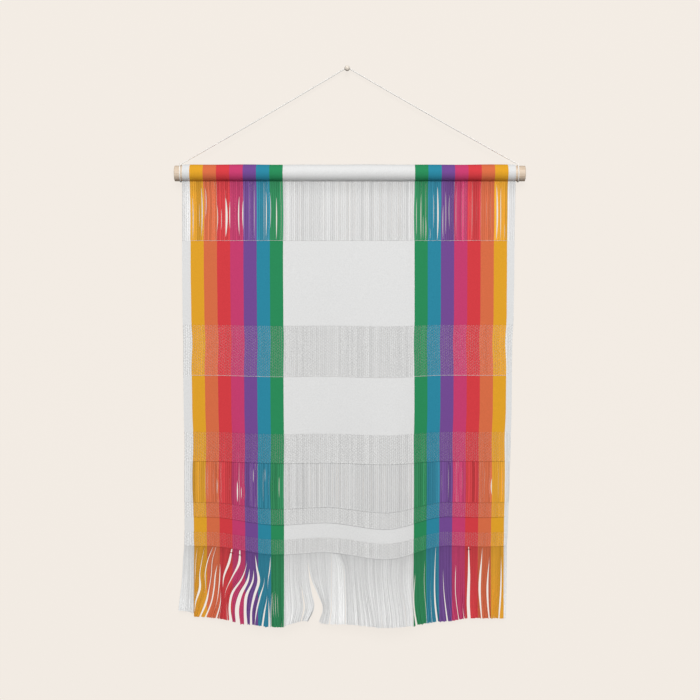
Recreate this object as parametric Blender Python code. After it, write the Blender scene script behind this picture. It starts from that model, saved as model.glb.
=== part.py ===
"""A striped woven wall hanging on a wooden dowel, hung by a string from a pin in the wall.

Metres, +Z up. The wall is the plane y = 0, and the cloth's front faces -Y. The origin is the
place where the pin's shaft enters the wall.
"""

import math
import random
from collections import namedtuple

import bmesh
import bpy
from mathutils import Matrix, Vector

TOUCH_GAP = 0.0003  # left between pieces that touch

# The pin: a steel shaft with a wooden bead on its end
SHAFT_RADIUS = 0.0010
SHAFT_SIDES = 12
SHAFT_IN_WALL = 0.0120
POINT_LENGTH = 0.0040
POINT_RADIUS = 0.0002
BEAD_RADIUS = 0.0034
BEAD_CENTRE_Y = -0.0105
BEAD_FLAT_Y = BEAD_CENTRE_Y + 0.0030

# The dowel
DOWEL_RADIUS = 0.0095
DOWEL_LENGTH = 0.4264
DOWEL_CENTRE = Vector((0.0032, -0.0114, -0.1283))
DOWEL_CHAMFER = 0.0008
DOWEL_SIDES = 32

# The string, its loops round the dowel and their knots
CORD_RADIUS = 0.00075
CORD_AT_PIN_Y = -0.0040
CORD_BEND_RADIUS = 0.0030
CORD_SAG = 0.0008
CORD_RUN_POINTS = 24
CORD_BEND_POINTS = 5
LOOP_X = {"cord_loop_left": -0.2027, "cord_loop_right": 0.2078}
LOOP_STATIONS = 24
LOOP_SIDES = 6
KNOT_RADIUS = 0.0016
KNOT_SPREAD = math.radians(9)

# The cloth's outline: its side edges draw in a little towards the hem
TOP_LEFT = -0.2004
TOP_RIGHT = 0.2054
HEM_LEFT = -0.1974
HEM_RIGHT = 0.1967
COLUMNS = 40

# The sleeve round the dowel
SLEEVE_FACETS = 18
SLEEVE_THICKNESS = 0.0010
SLEEVE_INNER_RADIUS = (DOWEL_RADIUS + TOUCH_GAP) / math.cos(math.pi / SLEEVE_FACETS)
SLEEVE_OUTER_RADIUS = SLEEVE_INNER_RADIUS + SLEEVE_THICKNESS

# The bands of weave from the sleeve down to the hem. drop is a band's height at the flat sides,
# sag is how much lower its foot hangs at the deepest fold, and steps is its rows of faces.
Band = namedtuple("Band", "weave drop sag thickness steps")
BANDS = (
    Band("open warp", 0.0707, 0.0000, 0.0010, 5),
    Band("tight", 0.1026, 0.0022, 0.0013, 4),
    Band("coarse", 0.0615, 0.0027, 0.0018, 2),
    Band("tight", 0.0690, 0.0038, 0.0013, 3),
    Band("coarse", 0.0359, 0.0028, 0.0018, 2),
    Band("open warp", 0.0498, 0.0108, 0.0010, 4),
    Band("coarse", 0.0179, 0.0131, 0.0018, 1),
    Band("tight", 0.0185, 0.0118, 0.0013, 1),
    Band("coarse", 0.0172, 0.0134, 0.0018, 1),
)
BAND_STEP = 0.0008  # the height over which one band's thickness turns into the next one's
PANEL_DROP = sum(band.drop for band in BANDS)
PANEL_TOP_Y = -0.0107
PANEL_HEM_Y = -0.0070

# The soft folds, which deepen from the sleeve to the hem. forward is how far the cloth stands
# out from the wall at x, as a share of the deepest fold.
Fold = namedtuple("Fold", "x forward")
FOLDS = (
    Fold(-0.201, 0.00),
    Fold(-0.170, 0.02),
    Fold(-0.084, 0.66),
    Fold(-0.027, 0.48),
    Fold(0.046, 1.00),
    Fold(0.122, 0.00),
    Fold(0.165, 0.06),
    Fold(0.206, 0.00),
)
FOLD_DEPTH = 0.020
FOLD_GROWTH = 1.3  # the power by which the folds deepen on the way down

# The widest slits between the threads of the open warp. top and foot count the rows of the band.
Slit = namedtuple("Slit", "x width band top foot")
SLITS = (
    Slit(-0.1767, 0.0022, 0, 1, 5),
    Slit(-0.1469, 0.0033, 0, 1, 5),
    Slit(-0.1273, 0.0022, 0, 1, 4),
    Slit(-0.0860, 0.0020, 0, 1, 5),
    Slit(0.0898, 0.0018, 0, 1, 5),
    Slit(0.1105, 0.0021, 0, 1, 5),
    Slit(0.1827, 0.0024, 0, 1, 5),
    Slit(-0.1338, 0.0021, 5, 1, 4),
    Slit(0.1756, 0.0019, 5, 1, 3),
)
SLIT_END_SHARE = 0.15  # a slit's width at its ends, as a share of its full width

# The fringe: the strip that holds the roots, and the strands
STRIP_GAP = 0.0005
STRIP_HEIGHT = 0.0025
STRIP_THICKNESS = 0.0014
STRAND_PITCH = 0.0036
STRAND_DEPTH = 0.0013
STRAND_FILL = 0.78  # a strand's share of the room that it has
STRAND_WIDEST = 0.0040
STRAND_STEPS = 6
TIP_Z = -0.6705
TIP_SAG = 0.0085
TIP_UNEVENNESS = 0.0012
STRAND_SWING = 0.0015

# The partings between the fringe's locks: x at the root, a third and two thirds down and at the
# tip, and how wide the parting is a third down and from two thirds down.
Parting = namedtuple("Parting", "root upper lower tip upper_width lower_width")
PARTINGS = (
    Parting(-0.1974, -0.2000, -0.2030, -0.2055, 0.0, 0.0),
    Parting(-0.1740, -0.1790, -0.1805, -0.1860, 0.0015, 0.0022),
    Parting(-0.1620, -0.1660, -0.1705, -0.1795, 0.0017, 0.0024),
    Parting(-0.1575, -0.1600, -0.1635, -0.1720, 0.0010, 0.0022),
    Parting(-0.1525, -0.1550, -0.1565, -0.1600, 0.0010, 0.0017),
    Parting(-0.1410, -0.1470, -0.1520, -0.1535, 0.0030, 0.0006),
    Parting(-0.1305, -0.1345, -0.1445, -0.1470, 0.0034, 0.0011),
    Parting(-0.1225, -0.1260, -0.1400, -0.1420, 0.0015, 0.0039),
    Parting(-0.1185, -0.1205, -0.1330, -0.1330, 0.0015, 0.0049),
    Parting(-0.1140, -0.1150, -0.1225, -0.1235, 0.0011, 0.0044),
    Parting(-0.1100, -0.1075, -0.1120, -0.1160, 0.0029, 0.0029),
    Parting(-0.1020, -0.1025, -0.1060, -0.1105, 0.0007, 0.0024),
    Parting(-0.0965, -0.0960, -0.0980, -0.1020, 0.0012, 0.0022),
    Parting(-0.0770, -0.0765, -0.0750, -0.0765, 0.0006, 0.0012),
    Parting(-0.0635, -0.0610, -0.0570, -0.0670, 0.0010, 0.0018),
    Parting(-0.0550, -0.0540, -0.0510, -0.0610, 0.0006, 0.0019),
    Parting(-0.0500, -0.0475, -0.0410, -0.0495, 0.0012, 0.0022),
    Parting(-0.0460, -0.0440, -0.0345, -0.0375, 0.0015, 0.0061),
    Parting(-0.0165, -0.0155, -0.0150, -0.0185, 0.0037, 0.0061),
    Parting(-0.0095, -0.0080, -0.0070, -0.0075, 0.0030, 0.0061),
    Parting(0.0100, 0.0115, 0.0235, 0.0340, 0.0007, 0.0019),
    Parting(0.0375, 0.0385, 0.0435, 0.0495, 0.0006, 0.0012),
    Parting(0.0740, 0.0725, 0.0745, 0.0790, 0.0007, 0.0015),
    Parting(0.0820, 0.0810, 0.0815, 0.0855, 0.0010, 0.0024),
    Parting(0.1075, 0.1060, 0.1070, 0.1110, 0.0015, 0.0027),
    Parting(0.1180, 0.1170, 0.1185, 0.1230, 0.0007, 0.0022),
    Parting(0.1330, 0.1315, 0.1325, 0.1365, 0.0011, 0.0024),
    Parting(0.1480, 0.1480, 0.1480, 0.1485, 0.0022, 0.0039),
    Parting(0.1640, 0.1620, 0.1615, 0.1635, 0.0018, 0.0027),
    Parting(0.1735, 0.1715, 0.1710, 0.1730, 0.0015, 0.0024),
    Parting(0.1880, 0.1880, 0.1870, 0.1855, 0.0010, 0.0022),
    Parting(0.1967, 0.1955, 0.1940, 0.1925, 0.0, 0.0),
)

# The stripes from the left edge, by the x at which each begins, in linear colour
WHITE = (0.77, 0.77, 0.76)
STRIPES = (
    (TOP_LEFT, WHITE),
    (-0.1903, (0.77, 0.37, 0.03)),
    (-0.1740, (0.70, 0.16, 0.07)),
    (-0.1583, (0.68, 0.05, 0.06)),
    (-0.1420, (0.58, 0.05, 0.16)),
    (-0.1257, (0.18, 0.07, 0.30)),
    (-0.1099, (0.03, 0.25, 0.37)),
    (-0.0940, (0.03, 0.26, 0.10)),
    (-0.0781, WHITE),
    (0.0817, (0.03, 0.26, 0.10)),
    (0.0981, (0.03, 0.25, 0.37)),
    (0.1135, (0.18, 0.07, 0.30)),
    (0.1294, (0.58, 0.05, 0.16)),
    (0.1464, (0.68, 0.05, 0.06)),
    (0.1631, (0.70, 0.16, 0.07)),
    (0.1780, (0.77, 0.37, 0.03)),
    (0.1945, WHITE),
)
WOOD = (0.72, 0.55, 0.38)
STEEL = (0.60, 0.60, 0.60)


def plain_material(name, colour, roughness, metallic=0.0):
    material = bpy.data.materials.new(name)
    material.use_nodes = True
    surface = material.node_tree.nodes["Principled BSDF"]
    surface.inputs["Base Color"].default_value = (*colour, 1.0)
    surface.inputs["Roughness"].default_value = roughness
    surface.inputs["Metallic"].default_value = metallic
    return material


def striped_material(name, roughness):
    """The cloth's upright stripes, read from the x of each point."""
    material = plain_material(name, WHITE, roughness)
    nodes = material.node_tree.nodes
    links = material.node_tree.links
    place = nodes.new("ShaderNodeTexCoord")
    axes = nodes.new("ShaderNodeSeparateXYZ")
    across = nodes.new("ShaderNodeMapRange")
    across.inputs["From Min"].default_value = TOP_LEFT
    across.inputs["From Max"].default_value = TOP_RIGHT
    ramp = nodes.new("ShaderNodeValToRGB")
    ramp.color_ramp.interpolation = "CONSTANT"
    stops = ramp.color_ramp.elements
    stops.remove(stops[1])
    stops[0].color = (*WHITE, 1.0)
    for x, colour in STRIPES[1:]:
        stop = stops.new((x - TOP_LEFT) / (TOP_RIGHT - TOP_LEFT))
        stop.color = (*colour, 1.0)
    links.new(place.outputs["Object"], axes.inputs["Vector"])
    links.new(axes.outputs["X"], across.inputs["Value"])
    links.new(across.outputs["Result"], ramp.inputs["Fac"])
    links.new(ramp.outputs["Color"], nodes["Principled BSDF"].inputs["Base Color"])
    return material


def clear_scene():
    for thing in list(bpy.data.objects):
        bpy.data.objects.remove(thing)


def add_object(name, data, material, parent):
    thing = bpy.data.objects.new(name, data)
    bpy.context.scene.collection.objects.link(thing)
    thing.data.materials.append(material)
    thing.parent = parent
    return thing


def mesh_of(name, shape, smooth_under=None):
    """The finished mesh of a bmesh, with its faces turned outwards."""
    bmesh.ops.recalc_face_normals(shape, faces=shape.faces)
    mesh = bpy.data.meshes.new(name)
    shape.to_mesh(mesh)
    shape.free()
    if smooth_under is not None:
        mesh.shade_smooth()
        mesh.set_sharp_from_angle(angle=smooth_under)
    return mesh


def between(start, end, share):
    return start + (end - start) * share


def eased(share):
    """A share from 0 to 1 that starts and ends gently."""
    return share * share * (3 - 2 * share)


def forward_at(x):
    """How far forward the cloth stands at x, as a share of the deepest fold."""
    if x <= FOLDS[0].x:
        return FOLDS[0].forward
    for left, right in zip(FOLDS, FOLDS[1:]):
        if x <= right.x:
            share = (x - left.x) / (right.x - left.x)
            return between(left.forward, right.forward, eased(share))
    return FOLDS[-1].forward


def panel_y(x, drop):
    """The y of the cloth's middle, drop below the sleeve."""
    share = drop / PANEL_DROP
    hanging = between(PANEL_TOP_Y, PANEL_HEM_Y, min(share, 1.0))
    return hanging - FOLD_DEPTH * min(share, 1.0) ** FOLD_GROWTH * forward_at(x)


# The point under the dowel where the sleeve closes and the panel begins
JUNCTION_OFFSET = PANEL_TOP_Y - DOWEL_CENTRE.y
PANEL_TOP_Z = DOWEL_CENTRE.z - math.sqrt(SLEEVE_OUTER_RADIUS**2 - JUNCTION_OFFSET**2)
HEM_Z = PANEL_TOP_Z - PANEL_DROP

Row = namedtuple("Row", "drop sag thickness band step")


def panel_rows():
    """The cloth's rows of points from the sleeve to the hem."""
    rows = []
    band_top = 0.0
    sag_top = 0.0
    for number, band in enumerate(BANDS):
        first = band_top + (BAND_STEP / 2 if number else 0.0)
        last = band_top + band.drop - (BAND_STEP / 2 if band is not BANDS[-1] else 0.0)
        for step in range(band.steps + 1):
            share = step / band.steps
            drop = between(first, last, share)
            sag = between(sag_top, band.sag, share)
            rows.append(Row(drop, sag, band.thickness, number, step))
        band_top += band.drop
        sag_top = band.sag
    return rows


def slit_column(slit):
    """The column of faces that a slit is cut in."""
    return int((slit.x - TOP_LEFT) / (TOP_RIGHT - TOP_LEFT) * COLUMNS)


def column_x(row, column):
    """The x of a column's line, drawn aside where it borders a slit."""
    for slit in SLITS:
        side = column - slit_column(slit)
        if row.band == slit.band and slit.top <= row.step <= slit.foot and side in (0, 1):
            share = (row.step - slit.top) / (slit.foot - slit.top)
            lens = between(SLIT_END_SHARE, 1.0, math.sin(math.pi * share))
            return slit.x + (side - 0.5) * slit.width * lens
    share_down = row.drop / PANEL_DROP
    left = between(TOP_LEFT, HEM_LEFT, share_down)
    right = between(TOP_RIGHT, HEM_RIGHT, share_down)
    return between(left, right, column / COLUMNS)


def panel_layers(shape, rows):
    """The points of the panel's front and back, as lists of rows."""
    front = []
    back = []
    for row in rows:
        places = []
        for column in range(COLUMNS + 1):
            x = column_x(row, column)
            z = PANEL_TOP_Z - row.drop - row.sag * forward_at(x)
            places.append(Vector((x, panel_y(x, row.drop), z)))
        half = Vector((0.0, row.thickness / 2, 0.0))
        front.append([shape.verts.new(place - half) for place in places])
        back.append([shape.verts.new(place + half) for place in places])
    return front, back


def slit_faces(rows):
    """The (row, column) of each face that the slits leave out."""
    missing = set()
    for slit in SLITS:
        for number, row in enumerate(rows):
            if row.band == slit.band and slit.top <= row.step < slit.foot:
                missing.add((number, slit_column(slit)))
    return missing


def add_panel(shape, rows, front, back):
    """The panel's faces, with walls round its edge and round each slit."""
    missing = slit_faces(rows)
    last_row = len(rows) - 2
    for r in range(last_row + 1):
        for c in range(COLUMNS):
            if (r, c) in missing:
                continue
            corners = ((r, c), (r, c + 1), (r + 1, c + 1), (r + 1, c))
            shape.faces.new([front[i][j] for i, j in corners])
            shape.faces.new([back[i][j] for i, j in reversed(corners)])
            beyond = ((r - 1, c), (r, c + 1), (r + 1, c), (r, c - 1))
            for side, (i, j) in enumerate(beyond):
                outside = j < 0 or j == COLUMNS or i > last_row
                if not outside and (i, j) not in missing:
                    continue
                (a, b), (d, e) = corners[side], corners[(side + 1) % 4]
                shape.faces.new((front[a][b], back[a][b], back[d][e], front[d][e]))


def add_sleeve(shape, rows, front_top, back_top):
    """The sleeve's ring from the panel's front, over the dowel, to the panel's back."""
    half = rows[0].thickness / 2
    start = math.asin(-(JUNCTION_OFFSET - half) / SLEEVE_OUTER_RADIUS)
    end = math.tau + math.asin(-(JUNCTION_OFFSET + half) / SLEEVE_OUTER_RADIUS)
    axis = [Vector((vertex.co.x, DOWEL_CENTRE.y, DOWEL_CENTRE.z)) for vertex in front_top]
    outer = [front_top]
    inner = []
    for facet in range(SLEEVE_FACETS + 1):
        angle = between(start, end, facet / SLEEVE_FACETS)
        out = Vector((0.0, -math.sin(angle), -math.cos(angle)))
        inner.append([shape.verts.new(place + out * SLEEVE_INNER_RADIUS) for place in axis])
        if 0 < facet < SLEEVE_FACETS:
            outer.append([shape.verts.new(place + out * SLEEVE_OUTER_RADIUS) for place in axis])
    outer.append(back_top)
    for k in range(SLEEVE_FACETS):
        for c in range(COLUMNS):
            shape.faces.new((outer[k][c], outer[k][c + 1], outer[k + 1][c + 1], outer[k + 1][c]))
            shape.faces.new((inner[k][c], inner[k + 1][c], inner[k + 1][c + 1], inner[k][c + 1]))
        for c in (0, COLUMNS):
            shape.faces.new((outer[k][c], outer[k + 1][c], inner[k + 1][c], inner[k][c]))
    for c in range(COLUMNS):
        shape.faces.new((inner[-1][c], inner[0][c], inner[0][c + 1], inner[-1][c + 1]))
    for c in (0, COLUMNS):
        shape.faces.new((outer[0][c], inner[0][c], inner[-1][c], outer[-1][c]))


def make_cloth(parent, material):
    """One woven panel, closed round the dowel at its top."""
    shape = bmesh.new()
    rows = panel_rows()
    front, back = panel_layers(shape, rows)
    add_panel(shape, rows, front, back)
    add_sleeve(shape, rows, front[0], back[0])
    add_object("cloth", mesh_of("cloth", shape), material, parent)


def through_four(values, share):
    """The smooth curve that passes the four values at 0, 1/3, 2/3 and 1."""
    a, b, c, d = values
    third = 1 / 3
    weight_a = -4.5 * (share - third) * (share - 2 * third) * (share - 1)
    weight_b = 13.5 * share * (share - 2 * third) * (share - 1)
    weight_c = -13.5 * share * (share - third) * (share - 1)
    weight_d = 4.5 * share * (share - third) * (share - 2 * third)
    return a * weight_a + b * weight_b + c * weight_c + d * weight_d


def parting_x(parting, share):
    return through_four((parting.root, parting.upper, parting.lower, parting.tip), share)


def parting_width(parting, share):
    if share < 1 / 3:
        return parting.upper_width * share * 3
    return between(parting.upper_width, parting.lower_width, min(share * 3 - 1, 1.0))


Strand = namedtuple("Strand", "left right number count tip_z swing")


def lock_strands():
    """The strands of each lock from left to right, with their uneven tips."""
    uneven = random.Random(7)
    strands = []
    for left, right in zip(PARTINGS, PARTINGS[1:]):
        count = max(1, round((right.root - left.root) / STRAND_PITCH))
        for number in range(count):
            middle = between(left.root, right.root, (number + 0.5) / count)
            tip_z = TIP_Z - TIP_SAG * forward_at(middle)
            tip_z += uneven.uniform(-1, 1) * TIP_UNEVENNESS
            swing = uneven.uniform(-1, 1) * STRAND_SWING
            strands.append(Strand(left, right, number, count, tip_z, swing))
    return strands


def strand_section(strand, share):
    """The front left, front right and back middle of a strand, share of the way down it."""
    left = parting_x(strand.left, share) + parting_width(strand.left, share) / 2
    right = parting_x(strand.right, share) - parting_width(strand.right, share) / 2
    room = (right - left) / strand.count
    x = left + room * (strand.number + 0.5)
    half = min(room * STRAND_FILL, STRAND_WIDEST) / 2
    root_x = between(strand.left.root, strand.right.root, (strand.number + 0.5) / strand.count)
    root_z = strip_z(root_x) - STRIP_HEIGHT
    y = panel_y(root_x, PANEL_DROP) + strand.swing * share * share
    z = between(root_z, strand.tip_z, share)
    front_y = y - STRAND_DEPTH / 2
    return (
        Vector((x - half, front_y, z)),
        Vector((x + half, front_y, z)),
        Vector((x, y + STRAND_DEPTH / 2, z)),
    )


def strip_z(x):
    """The top of the fringe's strip, just under the hem."""
    return HEM_Z - BANDS[-1].sag * forward_at(x) - STRIP_GAP


def strip_line(shape, x):
    """The strip's section at x: its front top, back top, front foot and back foot."""
    y = panel_y(x, PANEL_DROP)
    top = strip_z(x)
    half = STRIP_THICKNESS / 2
    corners = [(y + side * half, top - low) for low in (0.0, STRIP_HEIGHT) for side in (-1, 1)]
    return [shape.verts.new((x, corner_y, corner_z)) for corner_y, corner_z in corners]


def add_strand(shape, strand, left_line, right_line):
    """The strip's part over one strand, and the strand that grows out of its foot."""
    middle = strand_section(strand, 0.0)[2]
    top_a, back_a, foot_a, behind_a = left_line
    top_b, back_b, foot_b, behind_b = right_line
    root = shape.verts.new((middle.x, (behind_a.co.y + behind_b.co.y) / 2, middle.z))
    shape.faces.new((top_a, top_b, foot_b, foot_a))
    shape.faces.new((back_b, back_a, behind_a, root, behind_b))
    shape.faces.new((top_a, back_a, back_b, top_b))
    shape.faces.new((foot_a, root, behind_a))
    shape.faces.new((foot_b, behind_b, root))
    ring = (foot_a, foot_b, root)
    for step in range(1, STRAND_STEPS + 1):
        places = strand_section(strand, step / STRAND_STEPS)
        below = [shape.verts.new(place) for place in places]
        for side in range(3):
            after = (side + 1) % 3
            shape.faces.new((ring[side], ring[after], below[after], below[side]))
        ring = below
    shape.faces.new(ring)


def make_fringe(parent, material):
    """The strands, whose roots are joined by one narrow strip under the hem."""
    shape = bmesh.new()
    previous = None
    for strand in lock_strands():
        left_front, right_front, _ = strand_section(strand, 0.0)
        left_line = strip_line(shape, left_front.x)
        right_line = strip_line(shape, right_front.x)
        add_strand(shape, strand, left_line, right_line)
        if previous is None:
            top, back, foot, behind = left_line
            shape.faces.new((top, foot, behind, back))
        else:
            top_a, back_a, foot_a, behind_a = previous
            top_b, back_b, foot_b, behind_b = left_line
            shape.faces.new((top_a, top_b, foot_b, foot_a))
            shape.faces.new((back_b, back_a, behind_a, behind_b))
            shape.faces.new((top_a, back_a, back_b, top_b))
            shape.faces.new((foot_a, foot_b, behind_b, behind_a))
        previous = right_line
    top, back, foot, behind = previous
    shape.faces.new((top, back, behind, foot))
    add_object("fringe", mesh_of("fringe", shape), material, parent)


def make_dowel(parent, material):
    """A round rod along X with a small chamfer at each end."""
    shape = bmesh.new()
    bmesh.ops.create_cone(
        shape,
        cap_ends=True,
        segments=DOWEL_SIDES,
        radius1=DOWEL_RADIUS,
        radius2=DOWEL_RADIUS,
        depth=DOWEL_LENGTH,
    )
    rims = [edge for edge in shape.edges if edge.verts[0].co.z * edge.verts[1].co.z > 0]
    bmesh.ops.bevel(shape, geom=rims, offset=DOWEL_CHAMFER, segments=1, affect="EDGES")
    dowel = add_object("dowel", mesh_of("dowel", shape, math.radians(35)), material, parent)
    dowel.location = DOWEL_CENTRE
    dowel.rotation_euler = (0.0, math.pi / 2, 0.0)


def make_loop(name, parent, material):
    """One turn of string round the dowel, swollen into a knot on top."""
    shape = bmesh.new()
    rings = []
    for station in range(LOOP_STATIONS):
        angle = math.tau * station / LOOP_STATIONS
        from_top = min(angle, math.tau - angle)
        radius = between(CORD_RADIUS, KNOT_RADIUS, math.exp(-((from_top / KNOT_SPREAD) ** 2)))
        out = Vector((0.0, -math.sin(angle), math.cos(angle)))
        centre = out * (DOWEL_RADIUS + TOUCH_GAP + radius)
        ring = []
        for side in range(LOOP_SIDES):
            turn = math.tau * side / LOOP_SIDES
            offset = out * math.cos(turn) + Vector((math.sin(turn), 0.0, 0.0))
            ring.append(shape.verts.new(centre + offset * radius))
        rings.append(ring)
    for station, ring in enumerate(rings):
        after = rings[(station + 1) % LOOP_STATIONS]
        for side in range(LOOP_SIDES):
            other = (side + 1) % LOOP_SIDES
            shape.faces.new((ring[side], ring[other], after[other], after[side]))
    loop = add_object(name, mesh_of(name, shape, math.radians(70)), material, parent)
    loop.location = (LOOP_X[name], DOWEL_CENTRE.y, DOWEL_CENTRE.z)


def cord_route():
    """The string's points from the left knot, over the pin's shaft, to the right knot."""
    over_shaft = SHAFT_RADIUS + TOUCH_GAP + CORD_RADIUS
    bend_centre = Vector((0.0, CORD_AT_PIN_Y, over_shaft - CORD_BEND_RADIUS))
    runs = []
    bend_angles = []
    for name, side in (("cord_loop_left", 1), ("cord_loop_right", -1)):
        knot_z = DOWEL_CENTRE.z + DOWEL_RADIUS + TOUCH_GAP + KNOT_RADIUS
        knot = Vector((LOOP_X[name], DOWEL_CENTRE.y, knot_z))
        reach = knot - bend_centre
        flat_length = math.hypot(reach.x, reach.z)
        towards = math.atan2(reach.z, reach.x) % math.tau
        angle = towards - side * math.acos(CORD_BEND_RADIUS / flat_length)
        out = Vector((math.cos(angle), 0.0, math.sin(angle)))
        leaves = bend_centre + out * CORD_BEND_RADIUS
        start = knot + (leaves - knot).normalized() * (KNOT_RADIUS + TOUCH_GAP)
        run = []
        for number in range(CORD_RUN_POINTS):
            share = number / (CORD_RUN_POINTS - 1)
            place = start.lerp(leaves, share)
            place.z -= CORD_SAG * 4 * share * (1 - share)
            run.append(place)
        runs.append(run)
        bend_angles.append(angle % math.tau)
    bend = []
    for number in range(1, CORD_BEND_POINTS + 1):
        angle = between(*bend_angles, number / (CORD_BEND_POINTS + 1))
        out = Vector((math.cos(angle), 0.0, math.sin(angle)))
        bend.append(bend_centre + out * CORD_BEND_RADIUS)
    return runs[0] + bend + runs[1][::-1]


def make_cord(parent, material):
    """The hanging string, as one tube along its route."""
    route = cord_route()
    curve = bpy.data.curves.new("hanging_cord", "CURVE")
    curve.dimensions = "3D"
    curve.bevel_depth = CORD_RADIUS
    curve.bevel_resolution = 2
    curve.use_fill_caps = True
    line = curve.splines.new("POLY")
    line.points.add(len(route) - 1)
    for point, place in zip(line.points, route):
        point.co = (*place, 1.0)
    add_object("hanging_cord", curve, material, parent)


def make_pin_shaft(parent, material):
    """The steel shaft along Y, with its point inside the wall."""
    shape = bmesh.new()
    front_y = BEAD_FLAT_Y + TOUCH_GAP
    shoulder_y = SHAFT_IN_WALL - POINT_LENGTH
    middle = Matrix.Translation((0.0, (front_y + shoulder_y) / 2, 0.0))
    bmesh.ops.create_cone(
        shape,
        cap_ends=True,
        segments=SHAFT_SIDES,
        radius1=SHAFT_RADIUS,
        radius2=SHAFT_RADIUS,
        depth=shoulder_y - front_y,
        matrix=middle @ Matrix.Rotation(math.pi / 2, 4, "X"),
    )
    shoulder = max(shape.faces, key=lambda face: face.calc_center_median().y)
    end = bmesh.ops.extrude_discrete_faces(shape, faces=[shoulder])["faces"][0]
    narrowed = POINT_RADIUS / SHAFT_RADIUS
    for vertex in end.verts:
        vertex.co = (vertex.co.x * narrowed, SHAFT_IN_WALL, vertex.co.z * narrowed)
    mesh = mesh_of("wall_pin_shaft", shape, math.radians(40))
    add_object("wall_pin_shaft", mesh, material, parent)


def make_pin_head(parent, material):
    """The wooden bead, cut flat where the shaft enters it."""
    shape = bmesh.new()
    bmesh.ops.create_uvsphere(shape, u_segments=16, v_segments=10, radius=BEAD_RADIUS)
    cut = bmesh.ops.bisect_plane(
        shape,
        geom=shape.verts[:] + shape.edges[:] + shape.faces[:],
        plane_co=(0.0, BEAD_FLAT_Y - BEAD_CENTRE_Y, 0.0),
        plane_no=(0.0, 1.0, 0.0),
        clear_outer=True,
    )
    rim = [edge for edge in cut["geom_cut"] if isinstance(edge, bmesh.types.BMEdge)]
    bmesh.ops.holes_fill(shape, edges=rim)
    mesh = mesh_of("wall_pin_head", shape, math.radians(40))
    bead = add_object("wall_pin_head", mesh, material, parent)
    bead.location = (0.0, BEAD_CENTRE_Y, 0.0)


def main():
    clear_scene()
    wall_point = bpy.data.objects.new("wall_point", None)
    bpy.context.scene.collection.objects.link(wall_point)
    wood = plain_material("pale_wood", WOOD, 0.6)
    steel = plain_material("pin_steel", STEEL, 0.35, 1.0)
    string = plain_material("cotton_string", WHITE, 0.9)
    weave = striped_material("striped_weave", 0.85)
    make_pin_head(wall_point, wood)
    make_pin_shaft(wall_point, steel)
    make_dowel(wall_point, wood)
    make_cord(wall_point, string)
    for name in LOOP_X:
        make_loop(name, wall_point, string)
    make_cloth(wall_point, weave)
    make_fringe(wall_point, weave)


main()
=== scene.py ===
import math
from collections import namedtuple

import bpy
import numpy as np
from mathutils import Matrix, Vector


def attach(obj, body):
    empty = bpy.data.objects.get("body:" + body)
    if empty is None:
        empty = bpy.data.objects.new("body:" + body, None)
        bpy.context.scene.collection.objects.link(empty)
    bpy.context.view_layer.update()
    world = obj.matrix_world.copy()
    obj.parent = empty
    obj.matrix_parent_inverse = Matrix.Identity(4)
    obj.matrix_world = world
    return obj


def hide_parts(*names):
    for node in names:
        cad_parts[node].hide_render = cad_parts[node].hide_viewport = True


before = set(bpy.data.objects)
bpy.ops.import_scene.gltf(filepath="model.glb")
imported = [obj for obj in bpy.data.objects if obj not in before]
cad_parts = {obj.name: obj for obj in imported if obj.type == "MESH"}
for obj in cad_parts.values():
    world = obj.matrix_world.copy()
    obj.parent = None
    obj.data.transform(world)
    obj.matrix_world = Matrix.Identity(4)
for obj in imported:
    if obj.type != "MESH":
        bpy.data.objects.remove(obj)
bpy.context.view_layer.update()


# The camera stands level and square to the hanging. One pixel of the photograph is 1.217 mm at
# the cloth, and the frame is 700 pixels wide.
PIXEL = 0.001217
FRAME_PIXELS = 700
CAMERA_DISTANCE = 1.6
VIEW_CENTRE = Vector((0.0034, -0.0120, -0.3432))

bpy.ops.object.select_all(action="DESELECT")
bpy.ops.object.camera_add(
    location=VIEW_CENTRE - Vector((0.0, CAMERA_DISTANCE, 0.0)), rotation=(math.pi / 2, 0.0, 0.0)
)
camera = bpy.context.object
camera.data.lens = camera.data.sensor_width * CAMERA_DISTANCE / (FRAME_PIXELS * PIXEL)
bpy.context.scene.camera = camera
bpy.context.scene.view_settings.view_transform = "Standard"


# Soft studio light: one large lamp above and behind the camera, a weaker one behind the hanging
# for the views of its back, and an even glow from all round.
def add_lamp(name, location, size, watts):
    bpy.ops.object.light_add(type="AREA", location=location)
    lamp = bpy.context.object
    lamp.name = name
    lamp.data.size = size
    lamp.data.energy = watts
    lamp.rotation_euler = (VIEW_CENTRE - Vector(location)).to_track_quat("-Z", "Y").to_euler()


def set_inputs(node, **values):
    """Sets a node's inputs, named with _ for each space, and gives the node back."""
    for name, value in values.items():
        node.inputs[name.replace("_", " ")].default_value = value
    return node


add_lamp("lamp_above", location=(0.15, -4.0, 1.75), size=2.4, watts=198.0)
add_lamp("lamp_behind", location=(0.4, 3.0, 0.8), size=1.6, watts=40.0)
world = bpy.data.worlds.new("studio")
world.use_nodes = True
set_inputs(world.node_tree.nodes["Background"], Color=(1.0, 1.0, 1.0, 1.0), Strength=0.165)
bpy.context.scene.world = world


# The plain wall that the pin is pushed into, and a pale floor far below the frame. The wall
# shows only from its front, so that the hanging can be looked at from behind.
def new_material(name):
    material = bpy.data.materials.new(name)
    material.use_nodes = True
    nodes = material.node_tree.nodes
    return material, nodes, material.node_tree.links, nodes["Principled BSDF"]


def plane(name, size, location, rotation):
    bpy.ops.object.select_all(action="DESELECT")
    bpy.ops.mesh.primitive_plane_add(size=size, location=location, rotation=rotation)
    bpy.ops.object.transform_apply(location=True, rotation=True, scale=True)
    thing = bpy.context.object
    thing.name = name
    return thing


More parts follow.
